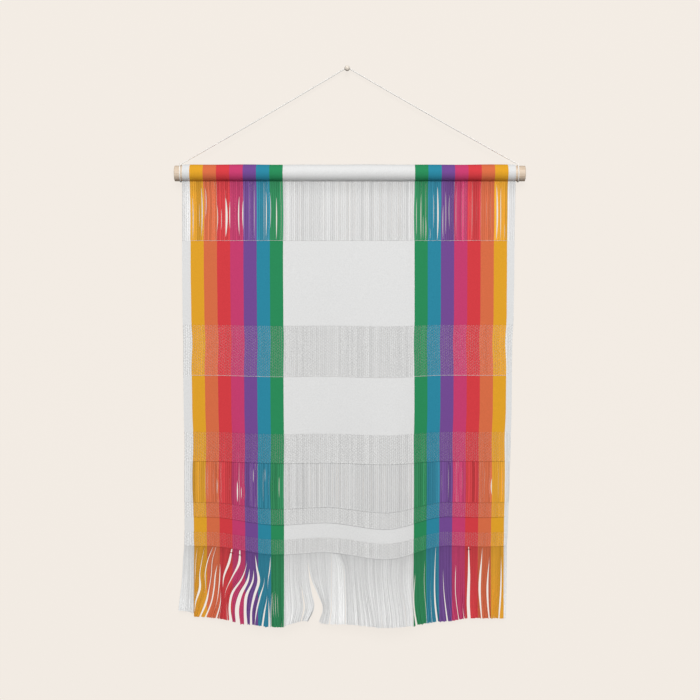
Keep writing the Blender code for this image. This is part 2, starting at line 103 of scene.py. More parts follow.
wall = plane("wall", size=3.2, location=(0.0, 0.0005, -0.35), rotation=(math.pi / 2, 0.0, 0.0))
wall_paint, nodes, links, surface = new_material("wall_paint")
set_inputs(
    surface,
    Base_Color=(0.06, 0.056, 0.052, 1.0),
    Specular_IOR_Level=0.0,
    Emission_Color=(0.896, 0.838, 0.775, 1.0),
    Emission_Strength=0.934,
)
clear = nodes.new("ShaderNodeBsdfTransparent")
side = nodes.new("ShaderNodeNewGeometry")
either = nodes.new("ShaderNodeMixShader")
links.new(side.outputs["Backfacing"], either.inputs["Fac"])
links.new(surface.outputs["BSDF"], either.inputs[1])
links.new(clear.outputs["BSDF"], either.inputs[2])
links.new(either.outputs["Shader"], nodes["Material Output"].inputs["Surface"])
wall.data.materials.append(wall_paint)
wall.visible_diffuse = False
wall.visible_glossy = False
wall.visible_shadow = False

floor = plane("floor", size=6.0, location=(0.0, 0.0, -1.15), rotation=(0.0, 0.0, 0.0))
floor_paint, nodes, links, surface = new_material("floor_paint")
set_inputs(surface, Base_Color=(0.80, 0.76, 0.71, 1.0), Roughness=0.9)
floor.data.materials.append(floor_paint)
floor.visible_diffuse = False


# The hanging string: thin off-white cotton twisted from three plies. It runs from the knot at
# one end of the dowel, over the pin's shaft, to the knot at the other, almost straight.
TOUCH_GAP = 0.0003
SHAFT_RADIUS = 0.0010
DOWEL_RADIUS = 0.0095
DOWEL_CENTRE = Vector((0.0032, -0.0114, -0.1283))
CORD_RADIUS = 0.00075
CORD_AT_PIN_Y = -0.0040
CORD_BEND_RADIUS = 0.0030
CORD_SAG = 0.0008
CORD_RUN_POINTS = 24
CORD_BEND_POINTS = 5
LEFT_LOOP_X = -0.2027
RIGHT_LOOP_X = 0.2078
KNOT_RADIUS = 0.0016
PLIES = 3
PLY_SIDES = 6
PLY_SHARE = 0.80  # a ply's radius as a share of the string's
PLY_PITCH = 0.0042  # the length of one turn of the twist
PLY_STATIONS = 8  # in one turn of the twist
OFF_PATH = (0.31, 0.87, 0.39)  # a direction that no string starts in


def between(start, end, share):
    return start + (end - start) * share


def cord_route():
    """The string's points from the left knot, over the pin's shaft, to the right knot."""
    over_shaft = SHAFT_RADIUS + TOUCH_GAP + CORD_RADIUS
    bend_centre = Vector((0.0, CORD_AT_PIN_Y, over_shaft - CORD_BEND_RADIUS))
    knot_z = DOWEL_CENTRE.z + DOWEL_RADIUS + TOUCH_GAP + KNOT_RADIUS
    runs = []
    bend_angles = []
    for loop_x, side in ((LEFT_LOOP_X, 1), (RIGHT_LOOP_X, -1)):
        knot = Vector((loop_x, DOWEL_CENTRE.y, knot_z))
        reach = knot - bend_centre
        flat_length = math.hypot(reach.x, reach.z)
        towards = math.atan2(reach.z, reach.x) % math.tau
        angle = towards - side * math.acos(CORD_BEND_RADIUS / flat_length)
        out = Vector((math.cos(angle), 0.0, math.sin(angle)))
        leaves = bend_centre + out * CORD_BEND_RADIUS
        start = knot + (leaves - knot).normalized() * (KNOT_RADIUS + TOUCH_GAP)
        run = []
        for number in range(CORD_RUN_POINTS):
            share = number / (CORD_RUN_POINTS - 1)
            place = start.lerp(leaves, share)
            place.z -= CORD_SAG * 4 * share * (1 - share)
            run.append(place)
        runs.append(run)
        bend_angles.append(angle % math.tau)
    bend = []
    for number in range(1, CORD_BEND_POINTS + 1):
        angle = between(*bend_angles, number / (CORD_BEND_POINTS + 1))
        out = Vector((math.cos(angle), 0.0, math.sin(angle)))
        bend.append(bend_centre + out * CORD_BEND_RADIUS)
    return runs[0] + bend + runs[1][::-1]


def finish_piece(piece, material, node):
    """Gives a new piece its material and says what it rides on and which node it replaces."""
    piece.data.materials.clear()
    piece.data.materials.append(material)
    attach(piece, "root")
    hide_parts(node)


def add_tubes(name, rings, place=None, tone=None):
    """One mesh of closed tubes. rings[t, s, k] is point k of the ring at station s of tube t.

    The ends are flat, with a sharp edge, so that they do not darken the tube beside them. place
    holds a (u, v) for each point, tube or station, and tone a shade for each.
    """
    tubes, stations, sides = rings.shape[:3]
    index = np.arange(tubes * stations * sides).reshape(tubes, stations, sides)
    above = index[:, :-1]
    below = index[:, 1:]
    walls = (above, below, np.roll(below, -1, axis=2), np.roll(above, -1, axis=2))
    quads = np.stack(walls, axis=-1).reshape(-1, 4)
    ends = np.concatenate([index[:, 0], index[:, -1, ::-1]])
    mesh = bpy.data.meshes.new(name)
    mesh.from_pydata(rings.reshape(-1, 3).tolist(), [], quads.tolist() + ends.tolist())
    if place is not None:
        set_place(mesh, np.broadcast_to(place, (tubes, stations, sides, 2)).reshape(-1, 2))
    if tone is not None:
        tones = mesh.attributes.new("tone", "FLOAT", "POINT")
        values = np.broadcast_to(tone, (tubes, stations, sides)).reshape(-1)
        tones.data.foreach_set("value", values.astype(np.float32))
    mesh.shade_smooth()
    station = np.tile(np.repeat(np.arange(stations), sides), tubes)
    corners = np.empty(2 * len(mesh.edges), np.int32)
    mesh.edges.foreach_get("vertices", corners)
    on_end = np.isin(station[corners.reshape(-1, 2)], (0, stations - 1)).all(axis=1)
    mesh.edges.foreach_set("use_edge_sharp", on_end)
    piece = bpy.data.objects.new(name, mesh)
    bpy.context.scene.collection.objects.link(piece)
    return piece


def set_place(mesh, place):
    """Writes each point's (u, v) to the mesh's UV map."""
    corners = np.empty(len(mesh.loops), np.int32)
    mesh.loops.foreach_get("vertex_index", corners)
    layer = mesh.uv_layers.new(name="weave")
    layer.uv.foreach_set("vector", place[corners].astype(np.float32).ravel())


def resampled(path, step):
    """Points at even steps along a path."""
    path = np.array([tuple(point) for point in path])
    lengths = np.concatenate([[0.0], np.cumsum(np.linalg.norm(np.diff(path, axis=0), axis=1))])
    at = np.linspace(0.0, lengths[-1], max(2, round(lengths[-1] / step) + 1))
    return np.stack([np.interp(at, lengths, path[:, axis]) for axis in range(3)], axis=1), at


def twisted_string(name, path, radius, pitch):
    """Plies that turn round a path as a twisted string's do."""
    centres, along = resampled(path, pitch / PLY_STATIONS)
    tangents = np.gradient(centres, axis=0)
    tangents /= np.linalg.norm(tangents, axis=1)[:, None]
    across = np.empty_like(tangents)
    start = np.cross(tangents[0], OFF_PATH)
    for number, tangent in enumerate(tangents):
        start = start - tangent * np.dot(start, tangent)
        start = start / np.linalg.norm(start)
        across[number] = start
    beside = np.cross(tangents, across)
    ply_radius = radius * PLY_SHARE
    angles = -np.arange(PLY_SIDES) * math.tau / PLY_SIDES
    rings = []
    for ply in range(PLIES):
        turn = math.tau * (along / pitch + ply / PLIES)
        out = np.cos(turn)[:, None] * across + np.sin(turn)[:, None] * beside
        middle = centres + out * (radius - ply_radius)
        ring = middle[:, None] + ply_radius * (
            np.cos(angles)[None, :, None] * across[:, None]
            + np.sin(angles)[None, :, None] * beside[:, None]
        )
        rings.append(ring)
    return add_tubes(name, np.stack(rings))


def two_tones(nodes, low, dark, high, pale):
    """A colour ramp from dark at low to pale at high."""
    ramp = nodes.new("ShaderNodeValToRGB")
    for stop, position, colour in zip(ramp.color_ramp.elements, (low, high), (dark, pale)):
        stop.position = position
        stop.color = (*colour, 1.0)
    return ramp


def add_relief(nodes, links, height, onto, strength, distance):
    """Raises the surface, or the relief, onto which it is put by a pattern's height."""
    relief = set_inputs(nodes.new("ShaderNodeBump"), Strength=strength, Distance=distance)
    links.new(height, relief.inputs["Height"])
    links.new(relief.outputs["Normal"], onto.inputs["Normal"])


def fibre_material(name, colour, relief_strength):
    """Matt spun cotton: a pale base with fine fibres in its colour and its relief."""
    material, nodes, links, surface = new_material(name)
    place = nodes.new("ShaderNodeTexCoord")
    fibres = set_inputs(nodes.new("ShaderNodeTexNoise"), Scale=900.0, Detail=3.0)
    tint = two_tones(nodes, 0.3, [value * 0.9 for value in colour], 0.7, colour)
    links.new(place.outputs["Object"], fibres.inputs["Vector"])
    links.new(fibres.outputs["Fac"], tint.inputs["Fac"])
    links.new(tint.outputs["Color"], surface.inputs["Base Color"])
    add_relief(nodes, links, fibres.outputs["Fac"], surface, relief_strength, 0.0003)
    set_inputs(surface, Roughness=0.92, Specular_IOR_Level=0.1)
    return material


string_cotton = fibre_material("string_cotton", (0.98, 0.95, 0.91), relief_strength=0.03)
route = cord_route()
string = twisted_string("hanging_string", route, CORD_RADIUS, PLY_PITCH)
finish_piece(string, string_cotton, "hanging_cord")


# The string's ends: two turns round each end of the dowel, outside the sleeve, tied on top in a
# small overhand knot.
LOOP_STRING_RADIUS = 0.0005
LOOP_TURNS = 2
LOOP_STEPS = 48  # in one turn
LOOP_SPACING = 2.2  # from one turn to the next, in radii of the string
KNOT_STRING_RADIUS = 0.00048
KNOT_SCALE = 0.00037
KNOT_DEPTH = 1.3  # how far its strands pass over and under each other, in KNOT_SCALE
KNOT_STEPS = 72
END_PLY_PITCH = 0.0030


def loop_path(x):
    """Two turns side by side round the dowel, from the top round to the top."""
    path = []
    radius = DOWEL_RADIUS + TOUCH_GAP + LOOP_STRING_RADIUS
    for step in range(LOOP_STEPS * LOOP_TURNS + 1):
        turn = step / LOOP_STEPS
        aside = (turn / LOOP_TURNS - 0.5) * LOOP_STRING_RADIUS * LOOP_SPACING
        angle = math.tau * turn
        out = Vector((0.0, -math.sin(angle), math.cos(angle)))
        path.append(Vector((x + aside, DOWEL_CENTRE.y, DOWEL_CENTRE.z)) + out * radius)
    return path


def knot_path(x):
    """A closed overhand knot that sits on top of the loop."""
    centre = Vector((x, DOWEL_CENTRE.y, DOWEL_CENTRE.z + DOWEL_RADIUS + TOUCH_GAP + KNOT_RADIUS))
    path = []
    for step in range(KNOT_STEPS + 1):
        turn = math.tau * step / KNOT_STEPS
        along = math.sin(turn) + 2 * math.sin(2 * turn)
        up = math.cos(turn) - 2 * math.cos(2 * turn)
        through = -math.sin(3 * turn) * KNOT_DEPTH
        path.append(centre + Vector((along, through, up)) * KNOT_SCALE)
    return path


string_ends = []
for side, x in (("left", LEFT_LOOP_X), ("right", RIGHT_LOOP_X)):
    loop = twisted_string(f"string_loop_{side}", loop_path(x), LOOP_STRING_RADIUS, END_PLY_PITCH)
    finish_piece(loop, string_cotton, f"cord_loop_{side}")
    knot = twisted_string(f"string_knot_{side}", knot_path(x), KNOT_STRING_RADIUS, END_PLY_PITCH)
    finish_piece(knot, string_cotton, f"cord_loop_{side}")
    string_ends += [loop, knot]


# The wall pin: a turned bead of pale wood on a thin steel shaft, whose point is in the wall. The
# shaft is the frame's own, drawn wire with fine lines round it.
BEAD_RADIUS = 0.0034
BEAD_CENTRE = Vector((0.0, -0.0105, 0.0))
BEAD_FLAT_Y = -0.0075
BEAD_EDGE = 0.0003
SHARP_ANGLE = math.radians(40)  # past which an edge of turned wood stays sharp

bpy.ops.object.select_all(action="DESELECT")
bpy.ops.mesh.primitive_uv_sphere_add(
    segments=40, ring_count=24, radius=BEAD_RADIUS, location=BEAD_CENTRE, rotation=(math.pi / 2, 0, 0)
)
bpy.ops.object.transform_apply(location=True, rotation=True, scale=True)
bead = bpy.context.object
bead.name = "pin_bead"
bpy.ops.object.mode_set(mode="EDIT")
bpy.ops.mesh.select_all(action="SELECT")
bpy.ops.mesh.bisect(
    plane_co=(0.0, BEAD_FLAT_Y, 0.0), plane_no=(0.0, 1.0, 0.0), use_fill=True, clear_outer=True
)
bpy.ops.mesh.bevel(offset=BEAD_EDGE, segments=3)
bpy.ops.object.mode_set(mode="OBJECT")
bpy.ops.object.shade_smooth_by_angle(angle=SHARP_ANGLE)


def wood_material(name, pale, dark, squeeze):
    """Sanded wood with fine grain lines; squeeze is how the grain is scaled along each axis."""
    material, nodes, links, surface = new_material(name)
    place = nodes.new("ShaderNodeTexCoord")
    mapping = set_inputs(nodes.new("ShaderNodeMapping"), Scale=squeeze)
    grain = set_inputs(nodes.new("ShaderNodeTexNoise"), Scale=1.0, Detail=6.0, Distortion=0.4)
    tint = two_tones(nodes, 0.32, dark, 0.62, pale)
    links.new(place.outputs["Object"], mapping.inputs["Vector"])
    links.new(mapping.outputs["Vector"], grain.inputs["Vector"])
    links.new(grain.outputs["Fac"], tint.inputs["Fac"])
    links.new(tint.outputs["Color"], surface.inputs["Base Color"])
    add_relief(nodes, links, grain.outputs["Fac"], surface, strength=0.2, distance=0.0002)
    set_inputs(surface, Roughness=0.55)
    return material


bead_wood = wood_material("bead_wood", (0.88, 0.81, 0.72), (0.76, 0.67, 0.56), (500, 120, 500))
finish_piece(bead, bead_wood, "wall_pin_head")

drawn_steel, nodes, links, surface = new_material("drawn_steel")
place = nodes.new("ShaderNodeTexCoord")
mapping = set_inputs(nodes.new("ShaderNodeMapping"), Scale=(300, 4000, 300))
lines = set_inputs(nodes.new("ShaderNodeTexNoise"), Scale=1.0)
shine = set_inputs(nodes.new("ShaderNodeMapRange"), To_Min=0.25, To_Max=0.45)
links.new(place.outputs["Object"], mapping.inputs["Vector"])
links.new(mapping.outputs["Vector"], lines.inputs["Vector"])
links.new(lines.outputs["Fac"], shine.inputs["Value"])
links.new(shine.outputs["Result"], surface.inputs["Roughness"])
set_inputs(surface, Base_Color=(0.62, 0.62, 0.62, 1.0), Metallic=1.0)
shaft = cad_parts["wall_pin_shaft"]
shaft.data.materials.clear()
shaft.data.materials.append(drawn_steel)


# The dowel: a 19 mm rod of pale softwood, sanded, with its ends cut square and lightly
# chamfered. Only its ends show outside the sleeve.
DOWEL_LENGTH = 0.4264
DOWEL_CHAMFER = 0.0008

bpy.ops.object.select_all(action="DESELECT")
bpy.ops.mesh.primitive_cylinder_add(
    vertices=64,
    radius=DOWEL_RADIUS,
    depth=DOWEL_LENGTH,
    location=DOWEL_CENTRE,
    rotation=(0.0, math.pi / 2, 0.0),
)
bpy.ops.object.transform_apply(location=True, rotation=True, scale=True)
dowel = bpy.context.object
dowel.name = "dowel_rod"
bpy.ops.object.mode_set(mode="EDIT")
bpy.ops.mesh.select_all(action="DESELECT")
bpy.ops.object.mode_set(mode="OBJECT")
for face in dowel.data.polygons:
    face.select = abs(face.normal.x) > 0.9
bpy.ops.object.mode_set(mode="EDIT")
bpy.ops.mesh.select_mode(type="FACE")
bpy.ops.mesh.bevel(offset=DOWEL_CHAMFER, segments=3)
bpy.ops.object.mode_set(mode="OBJECT")
bpy.ops.object.shade_smooth_by_angle(angle=SHARP_ANGLE)
dowel_wood = wood_material("dowel_wood", (0.80, 0.67, 0.53), (0.66, 0.50, 0.36), (14, 620, 620))
finish_piece(dowel, dowel_wood, "dowel")


# The cloth's shape: one panel that hangs in soft folds, which deepen from the sleeve down. Its
# edges and its outermost stripes draw in towards the hem, most of all in the coarse bands.
TOP_LEFT = -0.2008
TOP_RIGHT = 0.2050
PANEL_TOP_Y = -0.0107
PANEL_HEM_Y = -0.0070
FOLD_DEPTH = 0.020
FOLD_GROWTH = 1.3
SLEEVE_FACETS = 18
SLEEVE_INNER_RADIUS = (DOWEL_RADIUS + TOUCH_GAP) / math.cos(math.pi / SLEEVE_FACETS)
SLEEVE_OUTER_RADIUS = SLEEVE_INNER_RADIUS + 0.0010
JUNCTION_OFFSET = PANEL_TOP_Y - DOWEL_CENTRE.y
PANEL_TOP_Z = DOWEL_CENTRE.z - math.sqrt(SLEEVE_OUTER_RADIUS**2 - JUNCTION_OFFSET**2)

# Down the cloth: the drop below the sleeve, then the x of its left edge, of the first and the
# last coloured stripe's outer border, and of its right edge.
Line = namedtuple("Line", "drop left_edge left_stripe right_stripe right_edge")
LINES = (
    Line(0.000, TOP_LEFT, -0.1913, 0.1952, TOP_RIGHT),
    Line(0.097, -0.2010, -0.1910, 0.1947, 0.2036),
    Line(0.162, -0.2006, -0.1903, 0.1944, 0.2028),
    Line(0.195, -0.1999, -0.1887, 0.1927, 0.2012),
    Line(0.226, -0.1999, -0.1898, 0.1938, 0.2008),
    Line(0.272, -0.1994, -0.1892, 0.1935, 0.2004),
    Line(0.317, -0.1985, -0.1878, 0.1919, 0.1995),
    Line(0.360, -0.1986, -0.1886, 0.1925, 0.1980),
    Line(0.424, -0.1985, -0.1873, 0.1913, 0.1960),
    Line(0.450, -0.1992, -0.1868, 0.1908, 0.1945),
)
LINE_DROPS = np.array([line.drop for line in LINES])

# The x of each crest and hollow of the folds, and how far forward it stands as a share of the
# deepest fold.
FOLDS = np.array(
    (
        (-0.201, 0.00), (-0.170, 0.02), (-0.084, 0.66), (-0.027, 0.48),
        (0.046, 1.00), (0.122, 0.00), (0.165, 0.06), (0.206, 0.00),
    )
)

# The bands of weave from the sleeve down to the hem: each one's height at the flat sides, and
# how much lower its foot hangs at the deepest fold.
Band = namedtuple("Band", "weave drop sag")
BANDS = (
    Band("open warp", 0.0707, 0.0000),
    Band("tight", 0.1026, 0.0022),
    Band("coarse", 0.0615, 0.0027),
    Band("tight", 0.0690, 0.0038),
    Band("coarse", 0.0359, 0.0028),
    Band("open warp", 0.0498, 0.0108),
    Band("coarse", 0.0179, 0.0131),
    Band("tight", 0.0185, 0.0118),
    Band("coarse", 0.0172, 0.0134),
)
BAND_FEET = np.cumsum([0.0] + [band.drop for band in BANDS])
BAND_SAGS = np.array([0.0] + [band.sag for band in BANDS])
PANEL_DROP = BAND_FEET[-1]


def eased(value, places, values):
    """Values that ease in and out between places, held at both ends."""
    value = np.clip(value, places[0], places[-1])
    before = np.clip(np.searchsorted(places, value) - 1, 0, len(places) - 2)
    share = (value - places[before]) / (places[before + 1] - places[before])
    return between(values[before], values[before + 1], share * share * (3 - 2 * share))


def forward_at(x):
    """How far forward the cloth stands at x, as a share of the deepest fold."""
    return eased(x, FOLDS[:, 0], FOLDS[:, 1])


def line_at(name, drop):
    """The x of one of the cloth's lines, drop below the sleeve."""
    return eased(drop, LINE_DROPS, np.array([getattr(line, name) for line in LINES]))


MARGIN = 0.025  # a white margin's width as a share of the cloth's


def margin_shares(across):
    """How far out a place is in the left and in the right margin, each 1 at the cloth's edge."""
    return np.clip(1 - across / MARGIN, 0.0, 1.0), np.clip(1 - (1 - across) / MARGIN, 0.0, 1.0)


def cloth_x(across, drop):
    """The x of a place across the cloth, from 0 to 1, drop below the sleeve."""
    left = line_at("left_stripe", drop)
    right = line_at("right_stripe", drop)
    in_left, in_right = margin_shares(across)
    x = between(left, right, np.clip((across - MARGIN) / (1 - 2 * MARGIN), 0.0, 1.0))
    x = x + (line_at("left_edge", drop) - left) * in_left
    return x + (line_at("right_edge", drop) - right) * in_right


def panel_point(across, drop, out=0.0):
    """A point of the cloth, across it from 0 to 1, drop below the sleeve, out from its middle."""
    across, drop, out = np.broadcast_arrays(across, drop, out)
    return panel_at(cloth_x(across, drop), drop, out)


def panel_at(x, drop, out):
    """A point of the cloth at x, drop below the sleeve, out from its middle."""
    share = np.clip(drop / PANEL_DROP, 0.0, 1.0)
    forward = forward_at(x)
    y = between(PANEL_TOP_Y, PANEL_HEM_Y, share) - FOLD_DEPTH * share**FOLD_GROWTH * forward - out
    z = PANEL_TOP_Z - drop - np.interp(drop, BAND_FEET, BAND_SAGS) * forward
    return np.stack([x, y, z], axis=-1)


# The stripes run down the cloth in coloured warp: seven equal stripes beside each edge, of six or
# seven threads, in mirrored order, with white between them and at the edges.
WHITE = (0.770, 0.770, 0.765)
YELLOW = (0.770, 0.370, 0.020)
ORANGE = (0.700, 0.155, 0.060)
RED = (0.680, 0.045, 0.055)
PINK = (0.580, 0.045, 0.155)
PURPLE = (0.172, 0.068, 0.295)
BLUE = (0.022, 0.245, 0.360)
GREEN = (0.020, 0.258, 0.098)
Stripe = namedtuple("Stripe", "threads colour width")
STRIPE_WIDTH = 0.0397  # as a share of the cloth's width
COLOURS = (YELLOW, ORANGE, RED, PINK, PURPLE, BLUE, GREEN)
LEFT_STRIPES = [Stripe(6 + number % 2, colour, STRIPE_WIDTH) for number, colour in enumerate(COLOURS)]
MIDDLE = Stripe(64, WHITE, 1 - 2 * MARGIN - 2 * len(COLOURS) * STRIPE_WIDTH)
EDGE = Stripe(4, WHITE, MARGIN)
STRIPES = [EDGE] + LEFT_STRIPES + [MIDDLE] + LEFT_STRIPES[::-1] + [EDGE]
WARPS = sum(stripe.threads for stripe in STRIPES)
STRIPE_STARTS = np.cumsum([0.0] + [stripe.width for stripe in STRIPES])
THREAD_STARTS = np.cumsum([0] + [stripe.threads for stripe in STRIPES])
COLOUR_EDGE = 0.0012  # the share of the cloth's width over which the place crosses a border
MIX_FIRST, MIX_SECOND, MIX_RESULT = 6, 7, 2  # the numbers of a Mix node's colour sockets


def across_at(thread):
    """The share across the cloth at a count of warp threads from the left edge."""
    return np.interp(thread, THREAD_STARTS, STRIPE_STARTS)


def stripe_place(across):
    """Where a share across the cloth lies in the row of stripes, from 0 to 1."""
    borders = STRIPE_STARTS[1:-1]
    marks = np.stack([borders - COLOUR_EDGE / 2, borders + COLOUR_EDGE / 2], axis=1).ravel()
    numbers = np.arange(1, len(STRIPES))
    values = np.stack([numbers - 0.5, numbers + 0.5], axis=1).ravel()
    return np.interp(across, marks, values) / len(STRIPES)


def striped_cotton(name, fuzz_and_sheen, tone_from=None, relief_strength=0.25):
    """Cotton whose stripes follow u, the place in the row of stripes, with fine fibres.

    fuzz_and_sheen is how much white is mixed into the colour: pale fibre that stands out of the
    yarn, and in the bare yarn also painted sheen. tone_from names the attribute that holds a shade
    for each point.
    """
    material, nodes, links, surface = new_material(name)
    weave = nodes.new("ShaderNodeUVMap")
    weave.uv_map = "weave"
    axes = nodes.new("ShaderNodeSeparateXYZ")
    stripes = nodes.new("ShaderNodeValToRGB")
    stripes.color_ramp.interpolation = "CONSTANT"
    stops = stripes.color_ramp.elements
    stops.remove(stops[1])
    stops[0].color = (*WHITE, 1.0)
    for number, stripe in enumerate(STRIPES[1:], 1):
        stop = stops.new(number / len(STRIPES))
        stop.color = (*stripe.colour, 1.0)
    links.new(weave.outputs["UV"], axes.inputs["Vector"])
    links.new(axes.outputs["X"], stripes.inputs["Fac"])
    place = nodes.new("ShaderNodeTexCoord")
    fibres = set_inputs(nodes.new("ShaderNodeTexNoise"), Scale=700.0, Detail=3.0)
    links.new(place.outputs["Object"], fibres.inputs["Vector"])
    mottle = set_inputs(nodes.new("ShaderNodeMapRange"), To_Min=0.90, To_Max=1.10)
    links.new(fibres.outputs["Fac"], mottle.inputs["Value"])
    shade = mottle.outputs["Result"]
    if tone_from is not None:
        tone = nodes.new("ShaderNodeAttribute")
        tone.attribute_name = tone_from
        darker = nodes.new("ShaderNodeMath")
        darker.operation = "MULTIPLY"
        links.new(shade, darker.inputs[0])
        links.new(tone.outputs["Fac"], darker.inputs[1])
        shade = darker.outputs["Value"]
    fuzz_and_sheen_mix = nodes.new("ShaderNodeMix")
    fuzz_and_sheen_mix.data_type = "RGBA"
    fuzz_and_sheen_mix.inputs["Factor"].default_value = fuzz_and_sheen
    fuzz_and_sheen_mix.inputs[MIX_SECOND].default_value = (*WHITE, 1.0)
    dyed = nodes.new("ShaderNodeMix")
    dyed.data_type = "RGBA"
    dyed.blend_type = "MULTIPLY"
    dyed.inputs["Factor"].default_value = 1.0
    links.new(stripes.outputs["Color"], fuzz_and_sheen_mix.inputs[MIX_FIRST])
    links.new(fuzz_and_sheen_mix.outputs[MIX_RESULT], dyed.inputs[MIX_FIRST])
    links.new(shade, dyed.inputs[MIX_SECOND])
    links.new(dyed.outputs[MIX_RESULT], surface.inputs["Base Color"])
    add_relief(nodes, links, fibres.outputs["Fac"], surface, relief_strength, 0.0003)
    set_inputs(surface, Roughness=0.95, Specular_IOR_Level=0.0)
    return material


# The close weave: the sleeve round the dowel and the three tight bands, one sheet of cloth. The
# warp stands up in fine ribs, and thin weft crosses it.
SHEET_THICKNESS = 0.0007
RIB = 0.00010  # how far a warp thread stands out of the sheet's middle
SLEEVE_ROWS = 44
SLEEVE_FOOT = 0.0036  # how far in front of the dowel's middle the sleeve ends
SLEEVE_INSET = 0.0008  # how far each end of the sleeve draws in from the panel's edge
SLEEVE_PUFF = 0.00025  # how far the cloth lifts off the dowel's top, on average along it
SLEEVE_START = 0.2  # how far above the panel the sleeve's places down the cloth start
TIGHT_ROW = 0.0042
WEFT_SPACING = 0.0011
CLOTH_SHARP_ANGLE = math.radians(50)


def sleeve_rows(across, out):
    """The sleeve's points from its foot in front, over the dowel, to its foot behind."""
    half = SHEET_THICKNESS / 2
    radius = DOWEL_RADIUS + TOUCH_GAP + half
    start = math.asin(SLEEVE_FOOT / radius)
    end = math.tau + math.asin(-(JUNCTION_OFFSET + half) / radius)
    angles = np.linspace(start, end, SLEEVE_ROWS + 1)[:, None]
    in_left, in_right = margin_shares(across)
    x = (cloth_x(across, 0.0) + SLEEVE_INSET * (in_left - in_right))[None]
    puff = SLEEVE_PUFF * (1 + np.sin(x * 61.0) * np.sin(x * 23.0 + 1.0)) * (1 - np.cos(angles)) / 2
    reach = radius + out[None] + puff
    y = DOWEL_CENTRE.y - np.sin(angles) * reach
    z = DOWEL_CENTRE.z - np.cos(angles) * reach
    return np.stack(np.broadcast_arrays(x, y, z), axis=-1), angles[:, 0] * radius


def add_sheets(name, grids):
    """One mesh of several grids of points, each with the (u, v) of its points."""
    points = []
    faces = []
    places = []
    first = 0
    for grid, place in grids:
        rows, columns = grid.shape[:2]
        index = np.arange(rows * columns).reshape(rows, columns) + first
        corners = (index[:-1, :-1], index[1:, :-1], index[1:, 1:], index[:-1, 1:])
        faces.extend(np.stack(corners, axis=-1).reshape(-1, 4).tolist())
        points.extend(grid.reshape(-1, 3).tolist())
        places.append(place.reshape(-1, 2))
        first += rows * columns
    mesh = bpy.data.meshes.new(name)
    mesh.from_pydata(points, [], faces)
    set_place(mesh, np.concatenate(places))
    mesh.shade_smooth()
    piece = bpy.data.objects.new(name, mesh)
    bpy.context.scene.collection.objects.link(piece)
    return piece


def with_place(grid, across, lengths):
    """A grid with its places: u in the row of stripes, and v down the cloth in metres."""
    place = np.stack(np.broadcast_arrays(stripe_place(across)[None], lengths[:, None]), axis=-1)
    return grid, place


rib_columns = across_at(np.arange(2 * WARPS + 1) / 2)
rib_out = np.where(np.arange(2 * WARPS + 1) % 2 == 1, RIB, -RIB)
grids = []
grid, lengths = sleeve_rows(rib_columns, rib_out)
grids.append(with_place(grid, rib_columns, lengths - SLEEVE_START))
tight_length = lengths[-1] - lengths[0]
for number, band in enumerate(BANDS):
    if band.weave == "tight":
        rows = math.ceil(band.drop / TIGHT_ROW)
        drops = np.linspace(BAND_FEET[number], BAND_FEET[number + 1], rows + 1)
        grid = panel_point(rib_columns[None], drops[:, None], rib_out[None])
        grids.append(with_place(grid, rib_columns, drops))
        tight_length += band.drop
close_weave = add_sheets("close_weave", grids)
bpy.ops.object.select_all(action="DESELECT")
close_weave.select_set(True)
bpy.context.view_layer.objects.active = close_weave
wall_of_cloth = close_weave.modifiers.new("thickness", "SOLIDIFY")
wall_of_cloth.thickness = SHEET_THICKNESS
wall_of_cloth.offset = 0.0
bpy.ops.object.modifier_apply(modifier=wall_of_cloth.name)
bpy.ops.object.shade_smooth_by_angle(angle=CLOTH_SHARP_ANGLE)


def close_weave_material():
    """Warp-faced weave: the ribs are in the mesh, and thin weft crosses them as relief."""
    material = striped_cotton("close_weave_cotton", fuzz_and_sheen=0.01, relief_strength=0.12)
    nodes = material.node_tree.nodes
    links = material.node_tree.links
    weft = nodes.new("ShaderNodeMath")
    weft.operation = "MULTIPLY"
    weft.inputs[1].default_value = math.tau / WEFT_SPACING
    beat = nodes.new("ShaderNodeMath")
    beat.operation = "SINE"
    links.new(nodes["Separate XYZ"].outputs["Y"], weft.inputs[0])
    links.new(weft.outputs["Value"], beat.inputs[0])
    add_relief(nodes, links, beat.outputs["Value"], nodes["Bump"], strength=0.3, distance=0.0001)
    return material


finish_piece(close_weave, close_weave_material(), "cloth")


# The coarse bands: plain weave of thick, soft warp and thinner white weft, beaten loosely. The
# warp's fibres half cover the weft, so that it shows only as slightly paler dots.
WEFT_PITCH = 0.00177
COARSE_WARP_OUT = 0.00020
COARSE_WARP_DEEP = 0.00025
COARSE_WARP_FILL = 0.96  # a warp thread's width as a share of its room
COARSE_WEFT_OUT = 0.00030
COARSE_WEFT_TALL = 0.00013
COARSE_WEFT_DEEP = 0.00012
COARSE_TUCK = 0.0004  # how far a band's warp runs in under the band above and below
FLAT_YARN = 4  # sides
ROUND_YARN = 6
TONE_SPREAD = 0.035  # how much the shade differs from thread to thread
# Painted light on the white warp: the middle's threads are darkened as painted shade, and the margins'
# threads are lightened as painted light.
MIDDLE_PAINTED_SHADE = 0.945
MARGIN_PAINTED_LIGHT = 1.07
DYED_TONE = 1.05


def yarn_rings(paths, half, deep, sides, axis=0):
    """Rings round threads. half is half their size along axis, deep half their depth."""
    angles = (np.arange(sides) + 0.5) * math.tau / sides
    fit = 1 / math.cos(math.pi / sides)
    rings = np.repeat(paths[:, :, None], sides, axis=2)
    rings[..., axis] += np.cos(angles) * fit * np.asarray(half)[..., None]
    rings[..., 1] += np.sin(angles) * fit * np.asarray(deep)[..., None]
    return rings


def crossing_places(across):
    """The (u, v) of each station of one thread that crosses the stripes."""
    places = np.zeros((1, len(across), 1, 2))
    places[0, :, 0, 0] = stripe_place(across)
    return places


